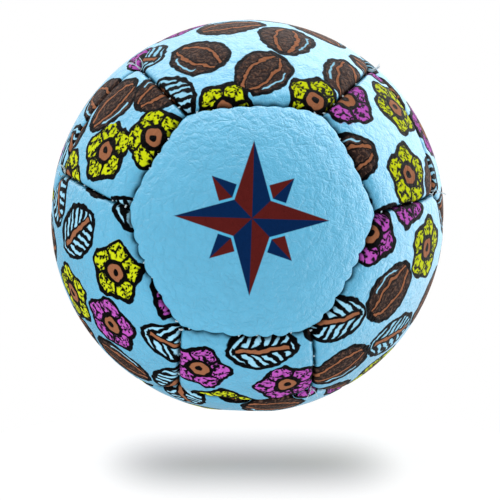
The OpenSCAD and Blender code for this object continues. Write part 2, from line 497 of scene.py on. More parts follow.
def make_camera():
    data = bpy.data.cameras.new("camera")
    camera = new_object("camera", data)
    distance = CAMERA_RADII * BALL_R
    focal_px = DISC_R * math.sqrt(CAMERA_RADII**2 - 1)
    data.sensor_width = SENSOR
    data.lens = SENSOR * focal_px / PHOTO_SIZE
    data.clip_start, data.clip_end = 0.01, 20
    forward = Vector((math.sin(CAMERA_LEFT), math.cos(CAMERA_LEFT), 0))
    camera.location = CENTRE - forward * distance
    roll = Quaternion((0, 0, 1), CAMERA_ROLL)
    level = forward.to_track_quat("-Z", "Y") @ roll
    right, up = level @ Vector((1, 0, 0)), level @ Vector((0, 1, 0))
    metres_per_px = distance / focal_px
    aim = CENTRE + right * (PHOTO_SIZE / 2 - DISC_X) * metres_per_px
    aim -= up * (PHOTO_SIZE / 2 - DISC_Y) * metres_per_px
    camera.rotation_mode = "QUATERNION"
    camera.rotation_quaternion = (aim - camera.location).to_track_quat("-Z", "Y") @ roll
    bpy.context.scene.camera = camera


# Light from all round, as in a white tent. What the leather mirrors is dark behind the camera, and
# stronger from the right and from above. Each: its level, and what the right and the top add
TENT_LEVEL, TENT_RIGHT, TENT_ABOVE = 1.16, -0.23, -0.27
MIRRORED, MIRRORED_RIGHT, MIRRORED_ABOVE = 3.5, 3.2, 4.7
MIRRORED_LEAST = 0.8
# Along the view, from -1 behind the camera to 1 beyond the ball, the mirrored light starts here and
# rises this steeply, and what lies further off takes away this much of a peak that is cut to 1
MIRROR_START, MIRROR_RISE = -0.8, 0.8
MIRROR_PEAK, MIRROR_FALL = 1.2, 0.95
# A soft lamp overhead: height above the ball's middle, diameter and watts
LAMP_HEIGHT, LAMP_SIZE, LAMP_WATTS = 0.9, 0.5, 0.4


def ray_kinds(tree):
    """1 for what the camera sees, also through glass, and 1 for what is mirrored."""
    rays = add(tree, "ShaderNodeLightPath").outputs
    seen = Number(tree, rays["Is Camera Ray"]).most(rays["Is Transmission Ray"])
    return seen, Number(tree, rays["Is Glossy Ray"])


def make_world():
    world = bpy.data.worlds.new("white_tent")
    bpy.context.scene.world = world
    world.use_nodes = True
    tree = world.node_tree
    seen, mirrored = ray_kinds(tree)
    right, away, above = split(tree, made(tree, "ShaderNodeTexCoord", out="Generated"))
    side = right * MIRRORED_RIGHT + above * MIRRORED_ABOVE + MIRRORED
    rise = (away - MIRROR_START).math("MULTIPLY", MIRROR_RISE, clamp=True)
    mirror = rise * side.most(MIRRORED_LEAST) * (MIRROR_PEAK - away * MIRROR_FALL).least(1.0)
    level = right * TENT_RIGHT + above * TENT_ABOVE + TENT_LEVEL
    lit = mirrored * mirror + (1 - mirrored) * level
    white = {"Color": (1, 1, 1, 1), "Strength": seen + (1 - seen) * lit}
    feed_all(tree, white, tree.nodes["Background"])


def make_lights():
    data = bpy.data.lights.new("overhead_lamp", "AREA")
    data.shape, data.size, data.energy = "DISK", LAMP_SIZE, LAMP_WATTS
    lamp = new_object("overhead_lamp", data)
    lamp.location = CENTRE + Vector((0, 0, LAMP_HEIGHT))
    lamp.visible_glossy = False


# The floor is a disc some way below the ball, as its shadow shows. It leans a little towards the
# camera and is level across its view. Its glow is low under the ball, a painted shadow over the
# real one, and fills up to the shadow's edge: half its width and its depth in ball radii, and how
# flat each is
FLOOR_DROP = 8.9 * MM
FLOOR_RIGHT = 1.9 * MM
FLOOR_BACK = 1.2 * MM
FLOOR_LEAN = math.radians(7.8)
FLOOR_R = 0.05
FLOOR_SIDES = 96
FLOOR_WHITE = 0.3
PAINTED_SHADOW_GLOW, GLOW_FAR = 0.31, 0.79
PAINTED_SHADOW_WIDE, PAINTED_SHADOW_DEEP = 0.82, 1.14
FLAT_ACROSS, FLAT_DEEP = 5.0, 1.8


def make_floor():
    material = bpy.data.materials.new("floor_white")
    material.use_nodes = True
    tree = material.node_tree
    tree.nodes.clear()
    seen, _ = ray_kinds(tree)
    x, y, _ = split(tree, made(tree, "ShaderNodeTexCoord", out="Object"))
    # Painted shadow: the glow is low under the ball and full beyond the shadow's edge.
    across = (x / (PAINTED_SHADOW_WIDE * BALL_R)).size().power(FLAT_ACROSS)
    deep = (y / (PAINTED_SHADOW_DEEP * BALL_R)).size().power(FLAT_DEEP)
    reach = (across + deep).least(1.0)
    filled = reach * (3 - 2 * reach.math("SQRT"))
    strength = seen * (filled * (GLOW_FAR - PAINTED_SHADOW_GLOW) + PAINTED_SHADOW_GLOW)
    matt = made(tree, "ShaderNodeBsdfDiffuse", {"Color": (FLOOR_WHITE,) * 3 + (1,)})
    glow = made(tree, "ShaderNodeEmission", {"Strength": strength})
    both = made(tree, "ShaderNodeAddShader", {0: matt, 1: glow})
    add(tree, "ShaderNodeOutputMaterial", {"Surface": both})
    turns = np.linspace(0, 2 * math.pi, FLOOR_SIDES, endpoint=False)
    rim = FLOOR_R * np.column_stack([np.cos(turns), np.sin(turns), 0 * turns])
    mesh = mesh_of("floor", np.vstack([(0, 0, 0), rim]), hub_faces(0, 1, FLOOR_SIDES))
    mesh.materials.append(material)
    floor = new_object("floor", mesh)
    floor.location = (FLOOR_RIGHT, FLOOR_BACK, REST_Z - FLOOR_DROP)
    floor.rotation_euler = (FLOOR_LEAN, -CAMERA_ROLL, 0)
    floor.visible_diffuse = floor.visible_glossy = False


# Materials

SKY_BLUE = shade(82, 174, 212)
LEMON, LIME = shade(212, 222, 10), shade(180, 194, 22)
MAGENTA, ROSE = shade(184, 62, 184), shade(184, 104, 184)
DARK_BROWN, LIGHT_BROWN = shade(40, 29, 27), shade(92, 68, 56)
TAN = shade(150, 96, 66)
INK = shade(4, 4, 6)
PALE_BLUE = shade(150, 208, 234)
MAROON, NAVY = shade(84, 24, 22), shade(2, 34, 76)
THREAD_BLUE, THREAD_WHITE = shade(178, 216, 232), shade(232, 242, 246)
CLOTH_WHITE, CLOTH_GREY = shade(226, 230, 232), shade(196, 202, 206)
CORD_WHITE, CORD_GREY = shade(244, 242, 232), shade(214, 210, 198)
HUSK_BROWN, HUSK_PALE = shade(150, 122, 88), shade(202, 178, 140)


def new_material(name, look, *more):
    """A material with a look's shader inputs, and its bumps with their heights in mm."""
    material = bpy.data.materials.new(name)
    material.use_nodes = True
    tree = material.node_tree
    place = made(tree, "ShaderNodeTexCoord", out="Object")
    place = made(tree, "ShaderNodeMapping", {"Vector": place, "Scale": (1 / MM,) * 3})
    inputs, bumps = look(tree, place, *more)
    normal = {}
    for bump, height in bumps:
        normal |= {"Height": bump, "Distance": height * MM}
        normal = {"Normal": made(tree, "ShaderNodeBump", normal)}
    inputs |= normal | {"Coat Normal": normal["Normal"]}
    feed_all(tree, inputs, tree.nodes["Principled BSDF"])
    return material


def noise(tree, place, scale, detail=3.0, distortion=0.0, out="Fac"):
    inputs = {"Vector": place, "Scale": scale, "Detail": detail, "Distortion": distortion}
    return Number(tree, made(tree, "ShaderNodeTexNoise", inputs, out))


def cells(tree, place, scale, feature="F1", **inputs):
    """Distance to the nearest of scattered points, or to the edge between two points' cells."""
    inputs |= {"Vector": place, "Scale": scale}
    return Number(tree, made(tree, "ShaderNodeTexVoronoi", inputs, "Distance", feature=feature))


def layered(tree, colour, *layers):
    """Colours laid one over another, each by its share."""
    for over, share in layers:
        inputs = {0: share, 6: colour, 7: over}
        colour = made(tree, "ShaderNodeMix", inputs, 2, data_type="RGBA")
    return colour


# Width over which a printed edge turns from one ink to the next, in mm
INK_EDGE = 0.07


def inside(distance):
    """1 where a distance in mm is positive."""
    return (distance / (2 * INK_EDGE)).math("ADD", 0.5, clamp=True)


def line(distance, width):
    """1 within half the width of where a distance in mm is zero."""
    return inside(width * 0.5 - distance.size())


def length(x, y):
    return (x * x + y * y).math("SQRT")


def sheet_place(tree):
    """Place on the leather's printed sheet, in mm."""
    return vector(tree, "SCALE", made(tree, "ShaderNodeUVMap", uv_map="sheet"), 1 / MM)


def blossom(tree, x, y, petals, tint):
    """Five round petals with dark blotches, round a tan eye."""
    count, petal_r, petal_bulge = 5, 5.75, 0.5
    heart_r, eye_r, pip_r, blotched_from = 2.6, 1.7, 0.7, 2.2
    place, radius, angle = joined(tree, x, y), length(x, y), y.math("ARCTAN2", x)
    rim = (angle * count).cosine() * petal_bulge + petal_r
    blotches = inside((noise(tree, place, 1.0, detail=1.0) - 0.55) * 1.2)
    specks = inside(0.3 - cells(tree, joined(tree, x, y * 1.4), 1.2) / 1.2)
    folds = line((angle * (count / 2)).cosine() * radius * 0.4, 0.55)
    outline = line(rim - radius - 0.35, (angle - 0.9).cosine() * 0.35 + 1.0)
    colour = layered(
        tree,
        petals,
        (tint, noise(tree, place, 0.5)),
        (INK, blotches.most(specks) * inside(radius - blotched_from)),
        (INK, folds * inside(radius - blotched_from)),
        (INK, inside(heart_r - radius)),
        (TAN, inside(eye_r - radius)),
        (INK, inside(pip_r - radius)),
        (INK, outline),
    )
    return colour, inside(rim - radius)


def leaf(tree, x, y):
    """A pointed leaf with slanted stripes and a tan midrib."""
    half_length, half_width, outline = 6.9, 4.9, 0.9
    bend = (half_length**2 + half_width**2) / (2 * half_width)
    depth = bend - length(x, y.size() + (bend - half_width))
    wander = noise(tree, joined(tree, x, y), 0.45) * 7
    stripes = (y.size() * 2.6 + x * 3.4 + wander).sine()
    colour = layered(
        tree,
        PALE_BLUE,
        (INK, inside((stripes + 0.15) * 0.25)),
        (INK, line(y, 1.8) * inside(5.4 - x.size())),
        (TAN, line(y, 0.8) * inside(4.8 - x.size())),
        (INK, inside(outline - depth)),
    )
    return colour, inside(depth)


def bud(tree, x, y):
    """A dark bud, stippled brown, with two tan seams from its foot to its tip."""
    half_length, half_width, taper, round_in, seam_bulge, outline = 6.4, 5.1, 0.14, 5.3, 2.1, 0.7
    place, long, width = joined(tree, x, y), x / half_length, half_width - x * taper
    depth = (1 - (long * long + (y * y) / (width * width)).math("SQRT")) * round_in
    wander = (noise(tree, place, 0.7) - 0.5) * 0.9
    seam = y.size() - (1 - long * long) * seam_bulge + wander
    colour = layered(
        tree,
        DARK_BROWN,
        (LIGHT_BROWN, inside(noise(tree, place, 1.5, detail=2.0) - 0.56)),
        (INK, line(seam, 1.2)),
        (TAN, line(seam, 0.55) * inside(5.2 - x.size())),
        (PALE_BLUE, line(depth - 1.35, 0.35) * inside(y - 2.4) * inside(x + 2.6)),
        (INK, inside(outline - depth)),
    )
    return colour, inside(depth)


# Size of the print, the distance between its motifs before that, and how far they stray from rows
PRINT_SCALE = 0.9
MOTIF_PITCH = 12.4
MOTIF_STRAY = 0.2
# Where the shares of yellow blossoms, pink ones, leaves and buds start, and an end beyond the last
MOTIF_SHARES = (0, 0.2, 0.4, 0.64, 2)
# The shake of the hand that drew them: waves in a mm, and width in mm
SHAKE_SCALE, SHAKE_WIDTH = 0.45, 1.6


def botanical_print(tree):
    """Blossoms, striped leaves and dark buds scattered over sky blue."""
    sheet = vector(tree, "SCALE", sheet_place(tree), 1 / PRINT_SCALE)
    shake = noise(tree, sheet, SHAKE_SCALE, detail=1.5, out="Color")
    shake = vector(tree, "SUBTRACT", shake, (0.5, 0.5, 0.5))
    sheet = vector(tree, "ADD", sheet, vector(tree, "SCALE", shake, SHAKE_WIDTH))
    inputs = {"Vector": sheet, "Scale": 1 / MOTIF_PITCH, "Randomness": MOTIF_STRAY}
    cell = add(tree, "ShaderNodeTexVoronoi", inputs, voronoi_dimensions="2D").outputs
    x, y, _ = split(tree, vector(tree, "SUBTRACT", sheet, cell["Position"]))
    kind, turn, _ = split(tree, cell["Color"])
    turn = turn * (2 * math.pi)
    x, y = x * turn.cosine() + y * turn.sine(), y * turn.cosine() - x * turn.sine()
    blossoms = [blossom(tree, x, y, LEMON, LIME), blossom(tree, x, y, MAGENTA, ROSE)]
    motifs = [*blossoms, leaf(tree, x, y), bud(tree, x, y)]
    colour, inked = SKY_BLUE, 0.0
    for (ink, area), start, end in zip(motifs, MOTIF_SHARES, MOTIF_SHARES[1:]):
        area = area * kind.math("GREATER_THAN", start) * kind.math("LESS_THAN", end)
        colour = layered(tree, colour, (ink, area))
        inked = area + inked
    return colour, inked


# Radius of the star's tips and waists, in mm: the slanting points, then the upright ones over them,
# with bare leather along their edges, inside the ink and outside it
STAR_SLANTING, STAR_UPRIGHT = (9.6, 4.6), (13.0, 4.2)
STAR_CLEAR = 0.15
STAR_GROUND = 0.25


def star_points(x, y, tip, waist):
    """How far inside a star of four points a place lies, and the half of the point it is on."""
    step = math.pi / 2
    part = (y.math("ARCTAN2", x) + 20 * step).math("MODULO", step) - step / 2
    radius, folded = length(x, y), step / 2 - part.size()
    near_x, near_y = radius * folded.cosine(), radius * folded.sine()
    run, rise = waist * math.cos(step / 2) - tip, waist * math.sin(step / 2)
    slant = math.hypot(run, rise)
    return (near_x - tip) * (rise / slant) * -1 + near_y * (run / slant), part


def star_mark(tree):
    """An eight-pointed star, half maroon and half navy on each point, on sky blue."""
    x, y, _ = split(tree, sheet_place(tree))
    cosine, sine = math.cos(math.pi / 4), math.sin(math.pi / 4)
    slanting = (x * cosine + y * sine, y * cosine - x * sine)
    colour, inked = SKY_BLUE, 0.0
    for place, sizes in ((slanting, STAR_SLANTING), ((x, y), STAR_UPRIGHT)):
        depth, part = star_points(*place, *sizes)
        halves = (NAVY, inside(part * 4)), (SKY_BLUE, inside(STAR_CLEAR - depth))
        halves = layered(tree, MAROON, *halves)
        colour = layered(tree, colour, (halves, inside(depth + STAR_GROUND)))
        inked = inside(depth - STAR_CLEAR).most(inked)
    return colour, inked


# The leather's marks: how many go in a mm, how far its folds are warped in mm, and its bumps in mm
WARP_SCALE, FOLD_SCALE, CREASE_SCALE, FOLDED_PATCH_SCALE = 0.5, 0.55, 1.5, 0.2
WRINKLE_SCALE, PORE_SCALE, SPECK_SCALE, PATCH_SCALE = 0.45, 6.0, 0.3, 0.25
WARP = 2.2
WRINKLE_BUMP, FOLD_BUMP, CREASE_BUMP, PORE_BUMP = 0.35, 0.09, 0.03, 0.01
# Its dark specks: radius in mm and darkness. Its gloss coat: roughness and refraction
SPECK_R, SPECK_DARK = 0.09, 0.35
COAT_ROUGHNESS, COAT_IOR = 0.35, 1.7


def leather(tree, place, paint):
    """Creased, porous synthetic leather, darkened by painted shade in the seams' creases, and
    glossy on all but the inks and that painted shade.
    """
    colour, inked = paint(tree)
    warp = vector(tree, "SCALE", noise(tree, place, WARP_SCALE, out="Color"), WARP)
    warped = vector(tree, "ADD", place, warp)
    folded = (noise(tree, place, FOLDED_PATCH_SCALE) * 1.6 - 0.2).most(0)
    folds = (cells(tree, warped, FOLD_SCALE, "DISTANCE_TO_EDGE") * 5).least(1.0)
    folds = 1 - (1 - folds) * folded
    creases = (cells(tree, warped, CREASE_SCALE, "DISTANCE_TO_EDGE") * 6).least(1.0)
    wrinkles = noise(tree, place, WRINKLE_SCALE, detail=2.2)
    pores = noise(tree, place, PORE_SCALE, detail=2.0)
    to_speck = cells(tree, place, SPECK_SCALE) / SPECK_SCALE
    specks = inside(SPECK_R - to_speck) * SPECK_DARK
    patchy = noise(tree, place, PATCH_SCALE) * 0.12 + 0.94
    # Darker along the sunken lines of the grain.
    grain_line_tone = folds * 0.06 + creases * 0.03 + 0.91
    # Painted shade in the seams' creases: it darkens the leather and takes away its gloss coat.
    soiled = Number(tree, made(tree, "ShaderNodeAttribute", out="Fac", attribute_name="soil"))
    unshaded = 1 - soiled * CREASE_SHADE_DARKNESS
    value = patchy * grain_line_tone * (1 - specks) * unshaded
    inputs = {
        "Base Color": made(tree, "ShaderNodeHueSaturation", {"Color": colour, "Value": value}),
        "Roughness": pores * 0.1 + 0.5,
        "Specular IOR Level": 0.03,
        "Coat Weight": (1 - inked) * unshaded,
        "Coat Roughness": COAT_ROUGHNESS,
        "Coat IOR": COAT_IOR,
    }
    bumps = [(wrinkles, WRINKLE_BUMP), (folds, FOLD_BUMP), (creases, CREASE_BUMP)]
    return inputs, [*bumps, (pores, PORE_BUMP)]


def polyester_thread(tree, place):
    """Pale thread, twisted from plies."""
    wave = {"Vector": place, "Scale": 2.2, "Distortion": 1.5}
    plies = made(tree, "ShaderNodeTexWave", wave, "Fac")
    fibres = noise(tree, place, 6.0, detail=4.0)
    colour = layered(tree, THREAD_BLUE, (THREAD_WHITE, fibres))
    inputs = {"Base Color": colour, "Roughness": fibres * 0.2 + 0.5, "Sheen Weight": 0.4}
    return inputs, [(plies, 0.06), (fibres, 0.03)]


def lining_cloth(tree, place):
    """Thin pale cloth in a plain weave."""
    weave = cells(tree, place, 2.6, Randomness=0.15)
    creases = noise(tree, place, 0.35, detail=5.0)
    colour = layered(tree, CLOTH_WHITE, (CLOTH_GREY, creases))
    inputs = {"Base Color": colour, "Roughness": weave * 0.2 + 0.65, "Sheen Weight": 0.3}
    return inputs, [(creases, 0.5), (weave, 0.05)]


def cotton_cord(tree, place):
    fibres = noise(tree, place, 4.0, detail=4.0)
    colour = layered(tree, CORD_WHITE, (CORD_GREY, fibres))
    return {"Base Color": colour, "Roughness": fibres * 0.2 + 0.7}, [(fibres, 0.1)]


def packed_husks(tree, place):
    """Granules, each with its own shade."""
    each = add(tree, "ShaderNodeTexVoronoi", {"Vector": place, "Scale": 0.55}).outputs
    tint, _, _ = split(tree, each["Color"])
    domes, grain = Number(tree, each["Distance"]) * -1, noise(tree, place, 3.0)
    colour = layered(tree, HUSK_BROWN, (HUSK_PALE, tint))
    return {"Base Color": colour, "Roughness": grain * 0.3 + 0.5}, [(domes, 0.6), (grain, 0.05)]


# Panels

# Turns of the fold's rings from the leather's outside, and shares of the way in across the hollow
FOLD_TURNS = np.radians(np.linspace(0, 90, 10))[1:]
HOLLOW_SHARES = (0.75, 0.5, 0.25)


def fold_rings(fold_r):
    """Distance in from the seam, depth and outside share of each ring, from the fold inwards."""
    rings = [(1 - math.sin(turn), 1 - math.cos(turn), math.cos(turn)) for turn in FOLD_TURNS]
    rings = [(HALF_GAP + fold_r * run, fold_r * fall, share) for run, fall, share in rings]
    rings += [(HALF_GAP, depth, 0.0) for depth in np.linspace(fold_r, ALLOWANCE_DEPTH, 4)[1:]]
    face = HALF_GAP + LEATHER_T
    depths = np.linspace(ALLOWANCE_DEPTH, LEATHER_T + INNER_FOLD_R, 3)
    rings += [(face, depth, 0.0) for depth in depths]
    return rings + [(face + INNER_FOLD_R, LEATHER_T, 0.0)]


def net_start(sides, k):
    """Number of the first point in ring k of the even net."""
    return 0 if k == 0 else 1 + sides * k * (k - 1) // 2


def net_faces(sides, rows):
    """Triangles of the even net, whose ring k has `sides * k` points round the middle one."""
    faces = []
    for k in range(rows):
        j = np.arange(k + 1)
        for i in range(sides):
            here, beyond = net_start(sides, k), net_start(sides, k + 1)
            inner = here + ((i * k + j) % (sides * k) if k else np.zeros(1, int))
            outer = beyond + i * (k + 1) + j
            outer_next = beyond + (i * (k + 1) + j + 1) % (sides * (k + 1))
            faces.append(np.column_stack([inner, outer, outer_next]))
            if k:
                faces.append(np.column_stack([inner[:-1], outer_next[:-1], inner[1:]]))
    return faces


def panel_points(name, rows):
    """Directions, depths and outside shares of the net and its rings, the seams, and the rings."""
    keys, middle = PANEL_KEYS[name], MIDDLES[name]
    fold_r = FRONT_FOLD_R if name == FRONT else FOLD_R
    seams = [SEAMS[pair] for pair in side_pairs(keys)]
    directions, depths, outside = [], [], []

    def put(points, depth, share):
        directions.append(points)
        depths.extend([depth] * len(points))
        outside.extend([share] * len(points))

    def rim(share, distance):
        """Directions a distance in from the sewn lines, on the way to the panel's middle."""
        parts = []
        for seam, key in zip(seams, keys):
            line = seam.place(share if seam.keys[0] == key else 1 - share)
            ray = unit(middle - (line @ middle)[:, None] * line)
            step = (distance / BALL_R / (ray @ (seam.side(name) * seam.across)))[:, None]
            parts.append(line * np.cos(step) + ray * np.sin(step))
        return np.concatenate(parts)

    put(middle[None], 0.0, 1.0)
    for k in range(1, rows + 1):
        edge = rim(np.arange(k) / k, HALF_GAP + fold_r)
        put(between(middle, edge, np.full(len(edge), k / rows)), 0.0, 1.0)
    rings = fold_rings(fold_r)
    for distance, depth, share in rings:
        put(rim(np.arange(rows) / rows, distance), depth, share)
    last = directions[-1]
    for share in HOLLOW_SHARES:
        put(between(middle, last, np.full(len(last), share)), LEATHER_T, 0.0)
    put(middle[None], LEATHER_T, 0.0)
    count = len(rings) + len(HOLLOW_SHARES)
    return np.concatenate(directions), np.array(depths), outside, seams, count


def panel_faces(sides, rows, rings):
    count, edge = sides * rows, net_start(sides, rows)
    innermost = edge + rings * count
    faces = net_faces(sides, rows) + ring_faces(edge, rings, count)
    faces.append(hub_faces(innermost + count, innermost, count, backwards=True))
    return np.concatenate(faces)


def sheet_layout(name, directions):
    """Place of each point on the printed sheet, flattened about the panel's middle."""
    middle = MIDDLES[name]
    upright = np.array([0, 0, 1]) if abs(middle[2]) < 0.8 else np.array([0, 1, 0])
    up = unit(upright - (upright @ middle) * middle)
    right = np.cross(up, middle)
    spread = np.arccos(np.clip(directions @ middle, -1, 1)) * BALL_R
    flat = np.column_stack([directions @ right, directions @ up])
    flat = flat / np.maximum(np.linalg.norm(flat, axis=1), 1e-9)[:, None] * spread[:, None]
    if name == FRONT:
        return flat
    chance = np.random.default_rng([SEED, *name.encode()])
    turn = chance.uniform(0, 2 * math.pi)
    turned = flat @ np.array([[math.cos(turn), -math.sin(turn)], [math.sin(turn), math.cos(turn)]])
    return turned + chance.uniform(0, 1, 2)


def panel_net(name, rows):
    """The even net of a panel on the sphere, with what its tree needs kept on each point."""
    directions, depths, outside, seams, rings = panel_points(name, rows)
    nearest = np.full(len(directions), np.inf)
    phases, pulls, soil = (np.zeros(len(directions)) for _ in range(3))
    for seam in seams:
        share, distance = seam.read(directions, name)
        phase = seam.phase(share)
        tucked = seam.on_front and name != FRONT
        # Painted shade in the crease beside the seam, reaching further on panels tucked under the
        # front and lighter at the stitches.
        reach = CREASE_SHADE_TUCK_REACH if tucked else CREASE_SHADE_REACH
        near = np.clip(CREASE_SHADE_END - distance / reach, 0, 1) ** CREASE_SHADE_FALL
        soil = np.maximum(soil, near * (1 - CREASE_SHADE_KEPT_OFF * np.sin(math.pi * phase) ** 2))
        closer = distance < nearest
        nearest = np.where(closer, distance, nearest)
        phases = np.where(closer, phase, phases)
        pulls = np.where(closer, seam.pull, pulls)
        if tucked:
            depths += TUCK_DEPTH * np.exp(-((distance / TUCK_WIDTH) ** 2))
    if name == FRONT:
        depths -= FRONT_RISE
    corners = np.array([CORNERS[k] for k in PANEL_KEYS[name]])
    to_corner = np.arccos(np.clip(directions @ corners.T, -1, 1)).min(axis=1) * BALL_R
    faces = panel_faces(len(seams), rows, rings)
    mesh = mesh_of(name, np.array(CENTRE) + directions * BALL_R, faces)
    note(mesh, depth=depths, outside=outside, corner_distance=to_corner, soil=soil)
    note(mesh, seam_distance=np.maximum(nearest, 0), stitch_phase=phases, stitch_pull=pulls)
    layer = mesh.uv_layers.new(name="sheet")
    spread = sheet_layout(name, directions)[faces.ravel()]
    layer.data.foreach_set("uv", spread.astype(np.float32).ravel())
    return mesh


PANEL_SIZES = {
    "Ball centre": CENTRE,
    "Rest height": float(REST_Z),
    "Dip depth": 0.14 * MM,
    "Dip width": 1.3 * MM,
    "Pucker depth": 0.16 * MM,
    "Pucker width": 0.9 * MM,
    "Corner pit depth": 0.45 * MM,
    "Corner pit width": 1.3 * MM,
    "Wrinkle size": 2.4 * MM,
    "Wrinkle depth": 0.05 * MM,
    "Width of five pebbles": 0.75 * MM,
    "Pebble depth": 0.012 * MM,
}


def panel_tree():
    """Folds a panel down at its seams, puckers it at the stitches and grains its outside."""
    tree, size = node_tree("sewn panel", PANEL_SIZES)
    _, outwards = from_centre(tree, size)
    distance = noted(tree, "seam_distance")
    stitch = (noted(tree, "stitch_phase") * math.pi).sine().power(2)
    pucker = distance.fading(size["Pucker width"]) * stitch * noted(tree, "stitch_pull")
    corner = noted(tree, "corner_distance") / size["Corner pit width"]
    depth = noted(tree, "depth") + distance.fading(size["Dip width"]) * size["Dip depth"]
    depth = depth + pucker * size["Pucker depth"]
    depth = depth + (corner * corner).fading(1.0) * size["Corner pit depth"]
    sunk = moved(tree, size["Geometry"], outwards, -depth)
    place = made(tree, "GeometryNodeInputPosition")
    by_wrinkle, by_pebbles = (
        vector(tree, "SCALE", place, Number(tree, size[step]).power(-1))
        for step in ("Wrinkle size", "Width of five pebbles")
    )
    height = (noise(tree, by_wrinkle, 1.0) - 0.5) * 2 * size["Wrinkle depth"]
    pebbles = cells(tree, by_pebbles, 5.0, "SMOOTH_F1", Smoothness=0.6)
    height = (height - pebbles * size["Pebble depth"]) * noted(tree, "outside")
    grained = moved(tree, sunk, made(tree, "GeometryNodeInputNormal"), height)
    x, y, z = split(tree, place)
    rest = {"Geometry": grained, "Position": joined(tree, x, y, z.most(size["Rest height"]))}
    return close_tree(tree, size, made(tree, "GeometryNodeSetPosition", rest))


def fitted(piece, slot, *nodes):
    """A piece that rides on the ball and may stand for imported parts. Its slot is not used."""
    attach(piece, BODY)
    if nodes:
        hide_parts(*nodes)
    return piece


def make_panels():
    tree = panel_tree()
    paints = {"plain_leather": star_mark, "printed_leather": botanical_print}
    leathers = {slot: new_material(slot, leather, paint) for slot, paint in paints.items()}
    for name, keys in PANEL_KEYS.items():
        net = panel_net(name, HEXAGON_ROWS if len(keys) == 6 else SQUARE_ROWS)
        slot = "plain_leather" if name == FRONT else "printed_leather"
        piece = name.replace("_panel", "_leather")
        piece = grown(piece, net, tree, PANEL_SIZES, leathers[slot])
        fitted(piece, slot, name)


# Thread that shows: stitches across the creases, and loose ends at some corners

STITCH_SIZES = {
    "Length": 0.9 * MM,
    "Thickness": 0.34 * MM,
    "Bow": 0.2 * MM,
    "Least share": 0.75,
    "Seed": SEED,
}
END_SIZES = STITCH_SIZES | {
    "Length": 2.4 * MM,
    "Thickness": 0.16 * MM,
    "Bow": 0.9 * MM,
    "Least share": 0.4,
}
THREAD_SIDES = 6
# The most stitches on either half of a seam
HALF_STITCHES = 12
# How far they lie below the ball's round, how much more beside the front panel, how far they skew,
# and the share of a seam that each corner keeps free of them
STITCH_SUNK = (0.85 * MM, 1.6 * MM)
STITCH_SUNK_FRONT = 0.15 * MM
STITCH_SKEW = 0.3
STITCH_FREE = 0.04
# Fibres at a frayed corner: their number, spread of their way, depth and spread of their roots, and
# how far along a fibre its root is from its middle
FRAYED_CORNERS = [(0, 2, -1), (2, 0, -1), (2, -1, 0), (0, -1, 2), (-1, 2, 0)]
FRAYED_CORNERS += [(-2, -1, 0), (0, -2, -1)]
FIBRES = 4
FIBRE_SPREAD = 0.7
ROOT_DEPTH, ROOT_SPREAD = 0.5 * MM, 0.2 * MM
ROOT_SHARE = 0.35


def thread_tree():
    """Sets a short thread on every point, along its `along` and bowed towards its `out`."""
    tree, size = node_tree("short threads", STITCH_SIZES)
    half = Number(tree, size["Length"]) * 0.5
    inputs = {"Resolution": THREAD_SIDES, "Start": joined(tree, -half, 0.0)}
    inputs |= {"Middle": joined(tree, 0.0, 0.0, size["Bow"]), "End": joined(tree, half, 0.0)}
    bow = made(tree, "GeometryNodeCurveQuadraticBezier", inputs)
    inputs = {"Resolution": THREAD_SIDES, "Radius": Number(tree, size["Thickness"]) * 0.5}
    girth = made(tree, "GeometryNodeCurvePrimitiveCircle", inputs)
    tube = made(tree, "GeometryNodeCurveToMesh", {0: bow, 1: girth, "Fill Caps": True})
    axes = {0: noted(tree, "along", "FLOAT_VECTOR"), 1: noted(tree, "out", "FLOAT_VECTOR")}
    turn = made(tree, "FunctionNodeAxesToRotation", axes, primary_axis="X", secondary_axis="Z")
    inputs = {2: size["Least share"], 3: 1.0, 8: size["Seed"]}
    share = made(tree, "FunctionNodeRandomValue", inputs, 1, data_type="FLOAT")
    return close_tree(tree, size, set_on(tree, size["Geometry"], tube, turn, share))


def stitch_points():
    """Middles of the stitches in the creases, the way each lies and the way out."""
    chance = np.random.default_rng(SEED)
    middles, along, out = [], [], []
    for seam in SEAMS.values():
        stitches = seam.angle * BALL_R / STITCH_PITCH
        share = (np.arange(-HALF_STITCHES, HALF_STITCHES) + 0.5 - seam.slip) / stitches + 0.5
        share = share[(share > STITCH_FREE) & (share < 1 - STITCH_FREE)]
        place = seam.place(share)
        sunk = chance.uniform(*STITCH_SUNK, (len(share), 1)) + seam.on_front * STITCH_SUNK_FRONT
        skew = chance.normal(0, STITCH_SKEW, (len(share), 1)) * np.cross(seam.across, place)
        middles.append(np.array(CENTRE) + place * (BALL_R - sunk))
        along.append(unit(seam.across + skew))
        out.append(place)
    return [np.concatenate(x) for x in (middles, along, out)]


def end_points():
    """Middles of the fibres that stand out at the frayed corners, and the way each lies."""
    chance = np.random.default_rng(SEED)
    place = np.repeat([CORNERS[key] for key in FRAYED_CORNERS], FIBRES, axis=0)
    along = unit(place + chance.normal(0, FIBRE_SPREAD, place.shape))
    root = place * (BALL_R - ROOT_DEPTH) + chance.normal(0, ROOT_SPREAD, place.shape)
    out = unit(chance.normal(0, 1, place.shape))
    return np.array(CENTRE) + root + along * END_SIZES["Length"] * ROOT_SHARE, along, out


def make_thread():
    """The seams' own thread stays as it is packed. What shows of it in the creases is added."""
    tree, thread = thread_tree(), new_material("sewing_thread", polyester_thread)
    shown = {"crease_stitches": (stitch_points(), STITCH_SIZES)}
    shown |= {"thread_ends": (end_points(), END_SIZES)}
    for name, ((middles, along, out), sizes) in shown.items():
        points = mesh_of(name, middles, np.zeros((0, 3), int))
        note(points, along=along, out=out)
        fitted(grown(name, points, tree, sizes, thread), "sewing_thread")
    for name, part in frame["nodes"].items():
        if name.endswith("_thread"):
            part.data.materials.clear()
            part.data.materials.append(thread)


